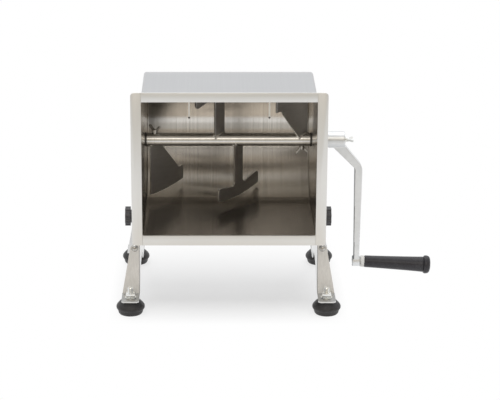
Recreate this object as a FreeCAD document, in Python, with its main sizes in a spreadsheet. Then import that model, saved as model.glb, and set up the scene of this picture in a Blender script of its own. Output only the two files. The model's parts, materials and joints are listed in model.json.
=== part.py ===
import FreeCAD, Part
import Sketcher
import math
import os
import re

# Hand-cranked mixer with a tilting U-shaped tank on two folded side plates.
# Origin on the floor, under the middle of the tank's shaft. +Z is up, +X towards the crank,
# and -Y is the side that the tank's mouth faces when it is tipped to empty.

doc = FreeCAD.newDocument("tilting_mixer")
sizes = doc.addObject("Spreadsheet::Sheet", "Sizes")

drivingSizes = {
    # tank
    "axisHeight": 236,
    "tankRadius": 99.5,
    "halfWidth": 124.5,
    "mouthReach": 150,
    "sheetThick": 1.2,
    "rimWidth": 15,
    "rimTopWidth": 13.8,
    "rimThick": 2,
    "rimCorner": 5.5,
    # slim pins that hang from the upper edge of the mouth
    "mouthPinAlong": 56.7,
    "mouthPinSet": 3.6,
    "mouthPinRadius": 1.1,
    "mouthPinLong": 24.5,
    "mouthPinTip": 1.4,
    "mouthPinTipLong": 3.2,
    # trunnions and bearings, from the tank's end wall outwards
    "trunnionRadius": 17,
    "weldFlangeRadius": 28,
    "weldFlangeThick": 2,
    "trunnionEnd": 139,
    "bushRadius": 12,
    "bushFlangeRadius": 16,
    "bushFlangeThick": 2,
    "clipStart": 135.2,
    "clipThick": 1.6,
    "clipRadius": 21,
    "clipGrooveRadius": 15.75,
    "runningGap": 0.05,
    "through": 1,
    # side plates of the stand
    "plateInside": 132,
    "plateThick": 2,
    "legBottom": 22,
    "legReach": 90.2,
    "plateTopReach": 37.3,
    "tiltBushRadius": 20,
    "tiltBushFlange": 25,
    "tiltBushFlangeThick": 2.5,
    "tiltBushProud": 0.6,
    "archHalf": 68,
    "archRise": 28,
    "legFlangeFoot": 26,
    "legFlangeTop": 14.2,
    "legFlangeHeight": 74.8,
    "legFlangeRound": 6,
    "legFlangeCurve": 6.6,
    "tabReach": 34,
    "tabCorner": 3,
    # feet
    "footRadius": 21.1,
    "footBase": 17.2,
    "footTop": 12,
    "footRimLow": 9,
    "footRimHigh": 13,
    "footLowCurve": 11.7,
    "footHighCurve": 13,
    "studRadius": 4,
    "studTop": 40.5,
    "studSeat": 8,
    "nutFlats": 13,
    "nutThick": 6.5,
    "washerRadius": 8.5,
    "washerThick": 1.6,
    # dome screws near the top of the legs
    "domeRadius": 5.2,
    "domeHeight": 3.2,
    "domeShank": 2.5,
    "domeShankLong": 6,
    "domeCurve": 5.52,
    "domeFlat": 1,
    "domeAlong": 69.4,
    "domeAcross": 7.2,
    "domeNutFlats": 8,
    "domeNutThick": 2.4,
    # crossmember between the side plates
    "crossTop": 102,
    "crossBottom": 86,
    "crossHalf": 30,
    "crossBoltY": 18,
    "crossBoltZ": 93,
    "crossBoltRadius": 3,
    "crossBoltReach": 9,
    "crossBoltFlats": 10,
    "crossHeadThick": 4,
    "crossNutThick": 5,
    # tilt lock
    "lockRadius": 121.6,
    "lockBolt": 4,
    "lockHeadRadius": 9,
    "lockHeadThick": 3.9,
    "lockHeadGap": 0.8,
    "lockWasherThick": 1.4,
    "tiltTravel": 90,
    "slotGap": 0.3,
    "quadrantInner": 88,
    "quadrantOuter": 132,
    "quadrantThick": 2.5,
    "quadrantOverrun": 7,
    "spacerRadius": 7.5,
    "spacerStart": 128.7,
    "knobStart": 135.8,
    "knobNeckEnd": 147.8,
    "knobEnd": 156,
    "knobRadius": 14.6,
    "knobNeckRadius": 9.9,
    "knobLobes": 8,
    "knobScallop": 5,
    "scallopSet": 2.75,
    "insertRadius": 6.5,
    "insertOverrun": 0.6,
    "lockBoltEnd": 151,
    # mixing shaft
    "tubeRadius": 10,
    "spindleRadius": 8,
    "tubeHalf": 122,
    "sealRadius": 10.2,
    "sealEnd": 124.2,
    "spindleDepth": 24,
    "wingAlong": 110,
    "wingHoleFloor": 1,
    "driveSquare": 11,
    "driveHoleDeep": 18,
    "driveRoundEnd": 141.4,
    "driveEnd": 173.2,
    "idlerEnd": 145,
    "idlerClipStart": 141.6,
    "idlerClipThick": 1.4,
    "idlerClipRadius": 11,
    "idlerGrooveRadius": 7,
    # paddles, cut from plate and welded to the tube
    "paddleThick": 3,
    "paddleLean": 3.5,
    "stemHalf": 10,
    "stemRoot": 7,
    "barHalf": 51,
    "barEndLow": 84.5,
    "barTop": 71.2,
    "barTipTop": 65,
    "barRound": 5,
    "barLowRound": 2.5,
    "stemFillet": 6,
    "barArc": 262,
    "lowerPaddleX": 14.8,
    "lowerPaddleTurn": 54,
    "upperPaddleX": 13.6,
    "upperPaddleTurn": 46.5,
    "upperPaddleLean": 8,
    "endPaddleX": 112.3,
    "endPaddleTurn": 44,
    "endPaddleLong": 59.3,
    "endPaddleBack": 7.1,
    "endPaddleDeep": 87,
    "endPaddleLow": 77.6,
    "endPaddleTip": 56.2,
    "endPaddleNotch": 50.3,
    "endPaddleNotchTop": 56.9,
    "endPaddleStem": 10.5,
    "endPaddleRoot": 5,
    # crank
    "hubStart": 142,
    "hubEnd": 174.2,
    "hubRadius": 12,
    "armThick": 14,
    "armRoot": 8,
    "armRootEnd": 15.4,
    "armRootDrop": 11.5,
    "armTopDrop": 8.2,
    "bendInsideX": 1.2,
    "bendInsideDrop": 42.2,
    "runInsideX": 0.1,
    "runInsideDrop": 46.5,
    "bendInsideCurve": 6,
    "eyeInsideX": 1.9,
    "eyeOutsideX": 1.9,
    "runOutsideDrop": 48,
    "bendOutsideX": 5.2,
    "bendOutsideDrop": 35.3,
    "bendOutsideCurve": 21,
    "crankWasherRadius": 6.5,
    "crankWasherThick": 0.9,
    "crankThrow": 194,
    "eyeStart": 189.6,
    "eyeEnd": 201.5,
    "eyeRadius": 8,
    "gripDroop": 3.2,
    "pinRadius": 4,
    "pinHeadRadius": 6,
    "pinHeadThick": 2,
    "pinRecess": 3,
    "pinHoleLong": 40,
    "pinPlay": 0.5,
    "pinCollarRadius": 7,
    "ringPlay": 0.6,
    "gripRingRadius": 8.6,
    "gripStart": 12.6,
    "gripEnd": 103,
    "gripRootRadius": 9,
    "gripTipRadius": 11.7,
    "gripCapRadius": 13.9,
    "gripCapEnd": 113.5,
    "gripGap": 0.06,
    "gripPlay": 0.4,
    "gripEdge": 1,
    "gripRootEdge": 1.5,
    "capEdge": 2.2,
    "capRound": 5.5,
    "capCurve": 5.8,
    "counterbore": 8,
    "counterboreStart": 96,
    # wing screws
    "wingShank": 3,
    "wingShankLong": 7,
    "wingCrankShankLong": 16,
    "wingBase": 4,
    "wingBaseTop": 3.4,
    "wingBaseTall": 5.2,
    "wingRoot": 3.5,
    "wingNeck": 5,
    "wingNeckTall": 4,
    "wingSpan": 10.4,
    "wingSpanTall": 9.6,
    "wingTip": 8,
    "wingTall": 11.4,
    "wingTipCurve": 1.7,
    "wingInside": 2.5,
    "wingInsideTall": 5.6,
    "wingThick": 3,
    "wingGap": 0.06,
    "wingSeatGap": 0.3,
    "wingLeftSkew": -39,
    "wingRightSkew": 16,
}
for row, (alias, value) in enumerate(drivingSizes.items(), start=1):
    sizes.set(f"A{row}", alias)
    sizes.set(f"B{row}", str(value))
    sizes.setAlias(f"B{row}", alias)
doc.recompute()

aliasPattern = re.compile(r"\b(" + "|".join(drivingSizes) + r")\b")
nodes = []

alongX = FreeCAD.Rotation(FreeCAD.Vector(0, 1, 0), 90)
upright = FreeCAD.Rotation()
sideways = FreeCAD.Vector(1, 0, 0)
lengthways = FreeCAD.Vector(0, 1, 0)


def formula(text):
    # Sheet names in a size rule become references to the sheet.
    return aliasPattern.sub(r"Sizes.\1", str(text))


def worth(text):
    return float(sizes.evalExpression(formula(text)))


def bind(item, prop, text):
    item.setExpression(prop, formula(text))


def place(item, at, turn=upright):
    item.Placement = FreeCAD.Placement(FreeCAD.Vector(*(worth(text) for text in at)), turn)
    for axis, text in zip("xyz", at):
        bind(item, "Placement.Base." + axis, text)


def shaped(kind, name, **measures):
    item = doc.addObject("Part::" + kind, name)
    for prop, text in measures.items():
        bind(item, prop, text)
    return item


def solid(kind, name, at, turn=upright, **measures):
    item = shaped(kind, name, **measures)
    place(item, at, turn)
    return item


def box(name, low, high):
    spans = [f"({top}) - ({bottom})" for bottom, top in zip(low, high)]
    return solid("Box", name, low, Length=spans[0], Width=spans[1], Height=spans[2])


def rod(name, start, end, radius, y="0", z="axisHeight"):
    # A round bar along X, on the shaft's axis unless another place is given.
    return solid("Cylinder", name, (start, y, z), alongX, Radius=radius, Height=f"({end}) - ({start})")


def post(name, x, y, start, end, radius):
    return solid("Cylinder", name, (x, y, start), Radius=radius, Height=f"({end}) - ({start})")


def fuse(name, *pieces):
    item = doc.addObject("Part::MultiFuse", name)
    item.Shapes = list(pieces)
    item.Refine = True
    return item


def cut(name, base, *tools):
    item = doc.addObject("Part::Cut", name)
    item.Base = base
    item.Tool = tools[0] if len(tools) == 1 else fuse(name + "_tools", *tools)
    return item


def tube(name, start, end, radius, bore, y="0", z="axisHeight"):
    outer = rod(name + "_outer", start, end, radius, y, z)
    inner = rod(name + "_bore", f"{start} - through", f"{end} + through", bore, y, z)
    return cut(name, outer, inner)


def mirrored(name, source, normal=sideways):
    item = doc.addObject("Part::Mirroring", name)
    item.Source = source
    item.Normal = normal
    return item


def group(name, *pieces):
    item = doc.addObject("Part::Compound", name)
    item.Links = list(pieces)
    return item


def keep(item, label):
    item.Label = label
    nodes.append(item)
    return item


def keepPair(item, label):
    keep(item, label + "_right")
    keep(mirrored(item.Name + "_mirror", item), label + "_left")


def newBody(name):
    return doc.addObject("PartDesign::Body", name)


def outline(body, role, corners):
    # A closed sketch on one of the body's planes, listed anticlockwise. A corner is (u, v), or
    # (u, v, radius) where an arc runs to the next corner: plus bulges outwards, minus inwards.
    sketch = body.newObject("Sketcher::SketchObject", body.Name + "_outline")
    plane = [feature for feature in body.Origin.OriginFeatures if feature.Role == role][0]
    sketch.AttachmentSupport = [(plane, "")]
    sketch.MapMode = "FlatFace"
    points = [FreeCAD.Vector(worth(corner[0]), worth(corner[1]), 0) for corner in corners]
    ends = []
    for index, corner in enumerate(corners):
        start = points[index]
        end = points[(index + 1) % len(points)]
        if len(corner) == 2:
            ends.append((sketch.addGeometry(Part.LineSegment(start, end)), 1, 2))
            continue
        radius = worth(corner[2])
        chord = end - start
        rise = math.sqrt(radius ** 2 - (chord.Length / 2) ** 2) * math.copysign(1, radius)
        centre = (start + end) / 2 + FreeCAD.Vector(-chord.y, chord.x, 0).normalize() * rise
        angles = [math.atan2(point.y - centre.y, point.x - centre.x) for point in (start, end)]
        circle = Part.Circle(centre, FreeCAD.Vector(0, 0, 1), abs(radius))
        if radius > 0:
            ends.append((sketch.addGeometry(Part.ArcOfCircle(circle, angles[0], angles[1])), 1, 2))
        else:
            ends.append((sketch.addGeometry(Part.ArcOfCircle(circle, angles[1], angles[0])), 2, 1))
    for index, corner in enumerate(corners):
        line, first, last = ends[index]
        follower, followerFirst, _ = ends[(index + 1) % len(ends)]
        sketch.addConstraint(Sketcher.Constraint("Coincident", line, last, follower, followerFirst))
        for kind, axis, text in (("DistanceX", -2, corner[0]), ("DistanceY", -1, corner[1])):
            if worth(text) == 0:
                sketch.addConstraint(Sketcher.Constraint("PointOnObject", line, first, axis))
                continue
            rule = Sketcher.Constraint(kind, -1, 1, line, first, worth(text))
            bind(sketch, f"Constraints[{sketch.addConstraint(rule)}]", text)
        if len(corner) == 3:
            rule = Sketcher.Constraint("Radius", line, abs(worth(corner[2])))
            bind(sketch, f"Constraints[{sketch.addConstraint(rule)}]", f"abs({corner[2]})")
    return sketch


def padded(name, role, corners, thick, centred=False, backwards=False):
    body = newBody(name)
    pad = body.newObject("PartDesign::Pad", name + "_pad")
    pad.Profile = outline(body, role, corners)
    bind(pad, "Length", thick)
    pad.Midplane = centred
    pad.Reversed = backwards
    return body


def turned(name, corners):
    # A turned piece: its half section, (radius, height), spun about the body's Z axis.
    body = newBody(name)
    spin = body.newObject("PartDesign::Revolution", name + "_spin")
    sketch = outline(body, "XZ_Plane", corners)
    spin.Profile = sketch
    spin.ReferenceAxis = (sketch, ["V_Axis"])
    spin.Angle = 360
    return body


def hexagon(name, at, turn, flats, thick):
    return solid("Prism", name, at, turn, Circumradius=acrossFlats(flats), Height=thick)


def acrossFlats(flats):
    return f"{flats} / 2 / cos(30 deg)"


# Tank

def tankProfile(name, start, end, radius, mouth):
    # The U of the tank: a round back and two straight walls that run to the mouth.
    back = rod(name + "_back", start, end, radius)
    front = box(name + "_front", (start, f"-({mouth})", f"axisHeight - ({radius})"),
                (end, "0", f"axisHeight + {radius}"))
    return fuse(name, back, front)


def makeTank():
    wallEnd = "mouthReach - rimThick"
    outside = tankProfile("wrap_outside", "-halfWidth", "halfWidth", "(tankRadius + sheetThick)", wallEnd)
    inside = tankProfile("wrap_inside", "-halfWidth - through", "halfWidth + through", "tankRadius",
                         "mouthReach + through")
    keep(cut("wrap", outside, inside), "tank_wrap")

    wall = tankProfile("wall", "halfWidth", "halfWidth + sheetThick", "(tankRadius + sheetThick)", wallEnd)
    wallHole = rod("wall_hole", "halfWidth - through", "halfWidth + sheetThick + through", "bushRadius")
    keepPair(cut("end_wall", wall, wallHole), "end_wall")

    wide = "halfWidth + rimWidth"
    low = "axisHeight - tankRadius - rimWidth"
    high = "axisHeight + tankRadius + rimTopWidth"
    corners = [(f"-({wide}) + rimCorner", low), (f"{wide} - rimCorner", low, "rimCorner"),
               (wide, f"{low} + rimCorner"), (wide, f"{high} - rimCorner", "rimCorner"),
               (f"{wide} - rimCorner", high), (f"-({wide}) + rimCorner", high, "rimCorner"),
               (f"-({wide})", f"{high} - rimCorner"), (f"-({wide})", f"{low} + rimCorner", "rimCorner")]
    rim = padded("rim_plate", "XZ_Plane", corners, "rimThick", backwards=True)
    place(rim, ("0", "-mouthReach", "0"))
    window = box("rim_window", ("-halfWidth", "-mouthReach - through", "axisHeight - tankRadius"),
                 ("halfWidth", "-mouthReach + rimThick + through", "axisHeight + tankRadius"))
    keep(cut("rim", rim, window), "tank_rim")

    across, along = "mouthPinAlong", "mouthPinSet - mouthReach"
    top = "axisHeight + tankRadius"
    bottom = top + " - mouthPinLong"
    stem = post("mouth_pin_stem", across, along, bottom, top, "mouthPinRadius")
    tip = post("mouth_pin_tip", across, along, bottom, bottom + " + mouthPinTipLong", "mouthPinTip")
    pin = fuse("mouth_pin", stem, tip)
    keep(group("mouth_pins", pin, mirrored("mouth_pin_mirror", pin)), "mouth_pins")


def makeBearings():
    wallOutside = "halfWidth + sheetThick"
    flange = rod("weld_flange", wallOutside, wallOutside + " + weldFlangeThick", "weldFlangeRadius")
    sleeve = rod("sleeve", wallOutside, "trunnionEnd", "trunnionRadius")
    bore = rod("sleeve_bore", "halfWidth", "trunnionEnd + through", "bushRadius")
    groove = tube("sleeve_groove", "clipStart", "clipStart + clipThick", "trunnionRadius + through",
                  "clipGrooveRadius")
    keepPair(cut("trunnion", fuse("trunnion_blank", flange, sleeve), bore, groove), "trunnion")

    clip = tube("clip", "clipStart", "clipStart + clipThick", "clipRadius", "clipGrooveRadius")
    keepPair(clip, "retaining_ring")

    barrel = rod("bush_barrel", "halfWidth", "trunnionEnd", "bushRadius")
    lip = rod("bush_lip", "trunnionEnd", "trunnionEnd + bushFlangeThick", "bushFlangeRadius")
    running = rod("bush_bore", "halfWidth - through", "trunnionEnd + bushFlangeThick + through",
                  "spindleRadius + runningGap")
    keepPair(cut("bush", fuse("bush_blank", barrel, lip), running), "shaft_bush")

    collar = rod("tilt_collar", "plateInside - tiltBushFlangeThick", "plateInside", "tiltBushFlange")
    ringEnd = "plateInside + plateThick + tiltBushProud"
    ring = rod("tilt_ring", "plateInside", ringEnd, "tiltBushRadius")
    hole = rod("tilt_bore", "plateInside - tiltBushFlangeThick - through", ringEnd + " + through",
               "trunnionRadius + runningGap")
    keepPair(cut("tilt_bush_blank", fuse("tilt_bush", collar, ring), hole), "tilt_bush")


# Stand

footX = "(plateInside + legFlangeFoot / 2)"
footY = "(legReach + tabReach / 2)"
legLean = math.atan2(worth("legReach - plateTopReach"), worth("axisHeight - legBottom"))


def makeSidePlates():
    corners = [("-legReach", "legBottom"), ("legReach", "legBottom"),
               ("plateTopReach", "axisHeight"), ("-plateTopReach", "axisHeight")]
    web = padded("web", "YZ_Plane", corners, "plateThick")
    place(web, ("plateInside", "0", "0"))
    outside = "plateInside + plateThick"
    crown = rod("web_crown", "plateInside", outside, "plateTopReach")

    leaning = FreeCAD.Rotation(sideways, -math.degrees(legLean))
    corners = [("plateInside", "0"), ("plateInside + legFlangeFoot", "0"),
               ("plateInside + legFlangeTop", "legFlangeHeight - legFlangeRound", "legFlangeCurve"),
               ("plateInside + legFlangeTop - legFlangeRound", "legFlangeHeight"),
               ("plateInside", "legFlangeHeight")]
    flange = padded("leg_flange", "XZ_Plane", corners, "plateThick", backwards=True)
    place(flange, ("0", "-legReach", "legBottom"), leaning)

    far = "-legReach - tabReach"
    wide = "plateInside + legFlangeFoot"
    corners = [("plateInside", far + " + tabCorner"), ("plateInside + tabCorner", far),
               (wide + " - tabCorner", far), (wide, far + " + tabCorner"),
               (wide, "-legReach + plateThick"), ("plateInside", "-legReach + plateThick")]
    tab = padded("foot_tab", "XY_Plane", corners, "plateThick")
    place(tab, ("0", "0", "legBottom"))
    frontLeg = fuse("front_leg", flange, tab)
    blank = fuse("side_blank", web, crown, frontLeg, mirrored("rear_leg", frontLeg, lengthways))

    archRadius = "((archHalf ^ 2 + archRise ^ 2) / (2 * archRise))"
    inner, outer = "plateInside - through", outside + " + through"
    arch = rod("arch", inner, outer, archRadius, z=f"legBottom + archRise - {archRadius}")
    bushHole = rod("bush_hole", inner, outer, "tiltBushRadius")
    lockHole = rod("lock_hole", inner, outer, "lockBolt", z="axisHeight - lockRadius")
    holes = [arch, bushHole, lockHole]
    for end in (-1, 1):
        holes.append(rod("cross_hole", inner, outer, "crossBoltRadius", f"{end} * crossBoltY", "crossBoltZ"))
        holes.append(post("stud_hole", footX, f"{end} * {footY}", "legBottom - through",
                          "legBottom + plateThick + through", "studRadius"))
        holes.append(domeShank("dome_hole", end))
    keepPair(cut("side", blank, *holes), "side_plate")


def onLegFace(x, along, end):
    # A point on the outer face of a leg's flange, and the turn that points a +Z tool out of it.
    y = end * (worth("legReach") - along * math.sin(legLean))
    z = worth("legBottom") + along * math.cos(legLean)
    outward = FreeCAD.Vector(0, end * math.cos(legLean), math.sin(legLean))
    return FreeCAD.Placement(FreeCAD.Vector(x, y, z), FreeCAD.Rotation(FreeCAD.Vector(0, 0, 1), outward))


def domeSeat(end, along=0):
    seat = onLegFace(worth("plateInside + domeAcross"), worth("domeAlong"), end)
    return seat * FreeCAD.Placement(FreeCAD.Vector(0, 0, along), upright)


def domeShank(name, end):
    item = shaped("Cylinder", name, Radius="domeShank", Height="domeShankLong + through")
    item.Placement = domeSeat(end, -worth("domeShankLong"))
    return item


def makeDomeScrews():
    screws = []
    for end in (-1, 1):
        corners = [("0", "-domeShankLong"), ("domeShank", "-domeShankLong"), ("domeShank", "0"),
                   ("domeRadius", "0", "domeCurve"), ("domeFlat", "domeHeight"), ("0", "domeHeight")]
        screw = turned("dome_screw", corners)
        screw.Placement = domeSeat(end)
        nut = shaped("Prism", "dome_nut", Circumradius=acrossFlats("domeNutFlats"), Height="domeNutThick")
        nut.Placement = domeSeat(end, -worth("plateThick + domeNutThick"))
        screws.append(fuse("dome_fixing", screw, nut))
    right = group("dome_right", *screws)
    keep(group("dome_set", right, mirrored("dome_left", right)), "leg_dome_screws")


def makeFeet():
    studs, nuts, washers = [], [], []
    nutBase = "legBottom + plateThick + washerThick"
    for side, sideName in ((-1, "left"), (1, "right")):
        for end, endName in ((-1, "front"), (1, "rear")):
            x, y = f"{side} * {footX}", f"{end} * {footY}"
            corners = [("0", "0"), ("footBase", "0", "footLowCurve"), ("footRadius", "footRimLow"),
                       ("footRadius", "footRimHigh", "footHighCurve"), ("footTop", "legBottom"),
                       ("0", "legBottom")]
            rubber = turned(f"rubber_{endName}_{sideName}", corners)
            place(rubber, (x, y, "0"))
            seat = post("stud_seat", x, y, "studSeat", "legBottom + through", "studRadius")
            keep(cut(f"foot_cut_{endName}_{sideName}", rubber, seat), f"foot_{endName}_{sideName}")
            studs.append(post("stud", x, y, "studSeat", "studTop", "studRadius"))
            nut = hexagon("nut_blank", (x, y, nutBase), upright, "nutFlats", "nutThick")
            nuts.append(cut("nut", nut, post("nut_bore", x, y, "legBottom", "studTop", "studRadius")))
            washer = post("washer_blank", x, y, "legBottom + plateThick", nutBase, "washerRadius")
            washerBore = post("washer_bore", x, y, "legBottom", "studTop", "studRadius")
            washers.append(cut("washer", washer, washerBore))
    keep(group("stud_set", *studs), "foot_studs")
    keep(group("nut_set", *nuts), "foot_nuts")
    keep(group("washer_set", *washers), "foot_washers")


def makeCrossmember():
    channel = box("channel_block", ("-plateInside", "-crossHalf", "crossBottom"),
                  ("plateInside", "crossHalf", "crossTop"))
    hollow = box("channel_hollow",
                 ("-plateInside + plateThick", "-crossHalf + plateThick", "crossBottom - through"),
                 ("plateInside - plateThick", "crossHalf - plateThick", "crossTop - plateThick"))
    holes, bolts = [], []
    headAt, nutAt = "plateInside + plateThick", "plateInside - plateThick - crossNutThick"
    for end in (-1, 1):
        y = f"{end} * crossBoltY"
        holes.append(rod("channel_hole", "-plateInside - through", "plateInside + through", "crossBoltRadius",
                         y, "crossBoltZ"))
        shank = rod("cross_shank", "plateInside - crossBoltReach", headAt, "crossBoltRadius", y, "crossBoltZ")
        head = hexagon("cross_head", (headAt, y, "crossBoltZ"), alongX, "crossBoltFlats", "crossHeadThick")
        nut = hexagon("cross_nut", (nutAt, y, "crossBoltZ"), alongX, "crossBoltFlats", "crossNutThick")
        bolts.append(fuse("cross_bolt", shank, head, nut))
    keep(cut("channel", channel, hollow, *holes), "crossmember")
    right = group("cross_right", *bolts)
    keep(group("cross_set", right, mirrored("cross_left", right)), "crossmember_bolts")


# Tilt lock

def makeTiltLock():
    lockZ = "axisHeight - lockRadius"
    wallOutside = "halfWidth + sheetThick"
    near, far = wallOutside + " - through", wallOutside + " + quadrantThick + through"

    def sector(name, radius, startTurn, sweep):
        # A pie slice about the shaft; its angle grows from straight down towards +Y.
        turn = alongX * FreeCAD.Rotation(FreeCAD.Vector(0, 0, 1), startTurn)
        return solid("Cylinder", name, (wallOutside, "0", "axisHeight"), turn, Radius=radius,
                     Height="quadrantThick", Angle=sweep)

    blank = sector("quadrant_outer", "quadrantOuter", -worth("quadrantOverrun"),
                   "tiltTravel + 2 * quadrantOverrun")
    plate = cut("quadrant_plate", blank, rod("quadrant_inner", near, far, "quadrantInner"))
    slotHalf = "lockBolt + slotGap"
    slot = cut("slot_arc", sector("slot_outer", f"lockRadius + {slotHalf}", 0, "tiltTravel"),
               rod("slot_inner", near, far, f"lockRadius - ({slotHalf})"))
    slotEnds = [rod("slot_start", near, far, slotHalf, z=lockZ),
                rod("slot_stop", near, far, slotHalf, y="lockRadius")]
    keepPair(cut("quadrant", plate, slot, *slotEnds), "tilt_quadrant")

    headEnd = wallOutside + " - lockHeadGap"
    head = rod("lock_head", headEnd + " - lockHeadThick", headEnd, "lockHeadRadius", z=lockZ)
    shank = rod("lock_shank", headEnd, "lockBoltEnd", "lockBolt", z=lockZ)
    keepPair(fuse("lock_bolt", head, shank), "lock_bolt")
    keepPair(tube("spacer", "spacerStart", "plateInside", "spacerRadius", "lockBolt", z=lockZ), "lock_spacer")
    outside = "plateInside + plateThick"
    washerEnd = outside + " + lockWasherThick"
    keepPair(tube("lock_washer", outside, washerEnd, "knobNeckRadius", "lockBolt", z=lockZ), "lock_washer")

    neck = rod("knob_neck", "knobStart", "knobNeckEnd", "knobNeckRadius", z=lockZ)
    star = rod("knob_star", "knobNeckEnd", "knobEnd", "knobRadius", z=lockZ)
    insertEnd = "lockBoltEnd + insertOverrun"
    cuts = [rod("knob_bore", "knobStart - through", insertEnd, "insertRadius", z=lockZ)]
    lobes = int(worth("knobLobes"))
    setOut = "(knobRadius + scallopSet)"
    for lobe in range(lobes):
        angle = 360 / lobes * lobe
        cuts.append(rod("scallop", "knobNeckEnd - through", "knobEnd + through", "knobScallop",
                        f"{setOut} * sin({angle} deg)", f"{lockZ} + {setOut} * cos({angle} deg)"))
    keepPair(cut("knob", fuse("knob_blank", neck, star), *cuts), "lock_knob")
    insert = tube("insert", "knobStart", insertEnd, "insertRadius", "lockBolt + gripGap", z=lockZ)
    keepPair(insert, "knob_insert")


# Mixing shaft

def makeShaft():
    floor, mouth = "wingHoleFloor", "tubeRadius + through"
    wingHoles = [post("wing_hole", "-wingAlong", "0", f"axisHeight + {floor}", f"axisHeight + {mouth}",
                      "wingShank + wingGap"),
                 post("wing_hole", "wingAlong", "0", f"axisHeight - ({mouth})", f"axisHeight - {floor}",
                      "wingShank + wingGap")]
    pipe = tube("pipe", "-tubeHalf", "tubeHalf", "tubeRadius", "spindleRadius")
    keep(cut("pipe_cut", pipe, *wingHoles), "shaft_tube")
    keepPair(tube("seal", "tubeHalf", "sealEnd", "sealRadius", "spindleRadius"), "shaft_seal")

    drive = rod("drive_round", "tubeHalf - spindleDepth", "driveRoundEnd", "spindleRadius")
    half = "driveSquare / 2"
    square = box("drive_square", ("driveRoundEnd", f"-{half}", f"axisHeight - {half}"),
                 ("driveEnd", half, f"axisHeight + {half}"))
    endHole = rod("drive_end_hole", "driveEnd - driveHoleDeep", "driveEnd + through", "wingShank + wingGap")
    keep(cut("drive", fuse("drive_blank", drive, square), wingHoles[1], endHole), "drive_spindle")

    idler = rod("idler_round", "-idlerEnd", "spindleDepth - tubeHalf", "spindleRadius")
    clipFrom, clipTo = "-idlerClipStart - idlerClipThick", "-idlerClipStart"
    groove = tube("idler_groove", clipFrom, clipTo, "spindleRadius + through", "idlerGrooveRadius")
    keep(cut("idler", idler, wingHoles[0], groove), "idler_spindle")
    keep(tube("idler_clip", clipFrom, clipTo, "idlerClipRadius", "idlerGrooveRadius"), "idler_clip")


def makePaddles():
    bar = [("-stemHalf", "-stemRoot"), ("-stemHalf", "stemFillet - barTop", "-stemFillet"),
           ("-stemHalf - stemFillet", "-barTop"), ("barRound - barHalf", "-barTipTop", "barRound"),
           ("-barHalf", "-barTipTop - barRound"), ("-barHalf", "barLowRound - barEndLow", "barLowRound"),
           ("barLowRound - barHalf", "-barEndLow", "barArc"),
           ("barHalf - barLowRound", "-barEndLow", "barLowRound"), ("barHalf", "barLowRound - barEndLow"),
           ("barHalf", "-barTipTop - barRound", "barRound"),
           ("barHalf - barRound", "-barTipTop"), ("stemHalf + stemFillet", "-barTop", "-stemFillet"),
           ("stemHalf", "stemFillet - barTop"), ("stemHalf", "-stemRoot")]
    plough = [("-endPaddleBack", "-endPaddleRoot"), ("-endPaddleBack", "-endPaddleDeep", "barArc"),
              ("endPaddleLong", "-endPaddleLow"), ("endPaddleLong", "-endPaddleTip"),
              ("endPaddleNotch", "-endPaddleNotchTop"), ("endPaddleStem", "-endPaddleRoot")]
    down, up = upright, FreeCAD.Rotation(sideways, 180)
    paddles = [("paddle_end_left", plough, "-endPaddleX", "endPaddleTurn", "paddleLean", down),
               ("paddle_end_right", plough, "endPaddleX", "endPaddleTurn + 180", "paddleLean", up),
               ("paddle_centre_lower", bar, "lowerPaddleX", "lowerPaddleTurn", "paddleLean", down),
               ("paddle_centre_upper", bar, "-upperPaddleX", "upperPaddleTurn", "upperPaddleLean", up)]
    for label, corners, x, turn, lean, flip in paddles:
        blade = padded(label + "_plate", "XZ_Plane", corners, "paddleThick", centred=True)
        leaning = FreeCAD.Rotation(sideways, worth(lean))
        swung = FreeCAD.Rotation(FreeCAD.Vector(0, 0, 1), worth(turn))
        place(blade, (x, "0", "axisHeight"), leaning * swung * flip)
        keep(cut(label + "_cut", blade, rod(label + "_tube", "-tubeHalf", "tubeHalf", "tubeRadius")), label)


# Crank

def gripPlacement(along=0):
    drooping = FreeCAD.Rotation(FreeCAD.Vector(0, 1, 0), 90 + worth("gripDroop"))
    eye = FreeCAD.Vector(worth("(eyeStart + eyeEnd) / 2"), 0, worth("axisHeight - crankThrow"))
    return FreeCAD.Placement(eye, drooping) * FreeCAD.Placement(FreeCAD.Vector(0, 0, along), upright)


def gripTurned(name, corners):
    piece = turned(name, corners)
    piece.Placement = gripPlacement()
    return piece


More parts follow.
